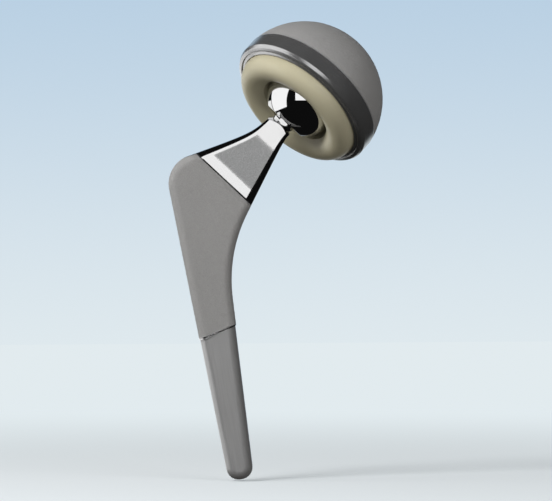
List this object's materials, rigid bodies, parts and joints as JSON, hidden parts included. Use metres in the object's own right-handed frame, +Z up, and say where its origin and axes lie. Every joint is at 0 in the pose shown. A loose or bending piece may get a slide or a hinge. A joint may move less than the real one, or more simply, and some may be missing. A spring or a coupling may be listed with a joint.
{
  "type": "hip implant stem with ball head and cup",
  "caption": "Hip implant: collarless wedge stem with a flared neck, polished ball head, plastic cup liner and metal cup shell, set out as in a right hip.",
  "frame": {"origin": "centre of the ball head, which is also the centre of the cup's sphere", "axes": "+X towards the body's midline, +Y towards the back, +Z up, as a right hip stands in the picture"},
  "size_m": [0.0795, 0.0568, 0.1703],
  "materials": {
    "stem_titanium": "titanium alloy, polished neck edges, blasted neck face, sprayed rough upper body, satin tip",
    "polished_cobalt_chrome": "cobalt-chrome alloy, mirror polished",
    "liner_polyethylene": "polyethylene, smooth satin, grey-beige",
    "shell_titanium": "titanium alloy, turned rim, rough sprayed dome",
    "ring_titanium": "titanium alloy, plain",
    "plug_titanium": "titanium alloy, turned"
  },
  "bodies": {
    "stem": {"femoral_stem": "stem_titanium"},
    "head": {"ball_head": "polished_cobalt_chrome"},
    "liner": {"cup_liner": "liner_polyethylene"},
    "shell": {"cup_shell": "shell_titanium", "liner_lock_ring": "ring_titanium", "apex_hole_plug": "plug_titanium"}
  },
  "joints": [
    {"name": "neck_turn", "type": "hinge", "parent": "stem", "child": "head", "pos_m": [0, 0, 0], "axis": [-0.6716, 0.1184, -0.7314], "range_deg": [-40, 40]},
    {"name": "hip_flexion", "type": "hinge", "parent": "head", "child": "liner", "pos_m": [0, 0, 0], "axis": [1, 0, 0], "range_deg": [-15, 85]},
    {"name": "cup_turn", "type": "hinge", "parent": "liner", "child": "shell", "pos_m": [0, 0, 0], "axis": [0.6645, 0.342, 0.6645], "range_deg": [-35, 35]}
  ]
}
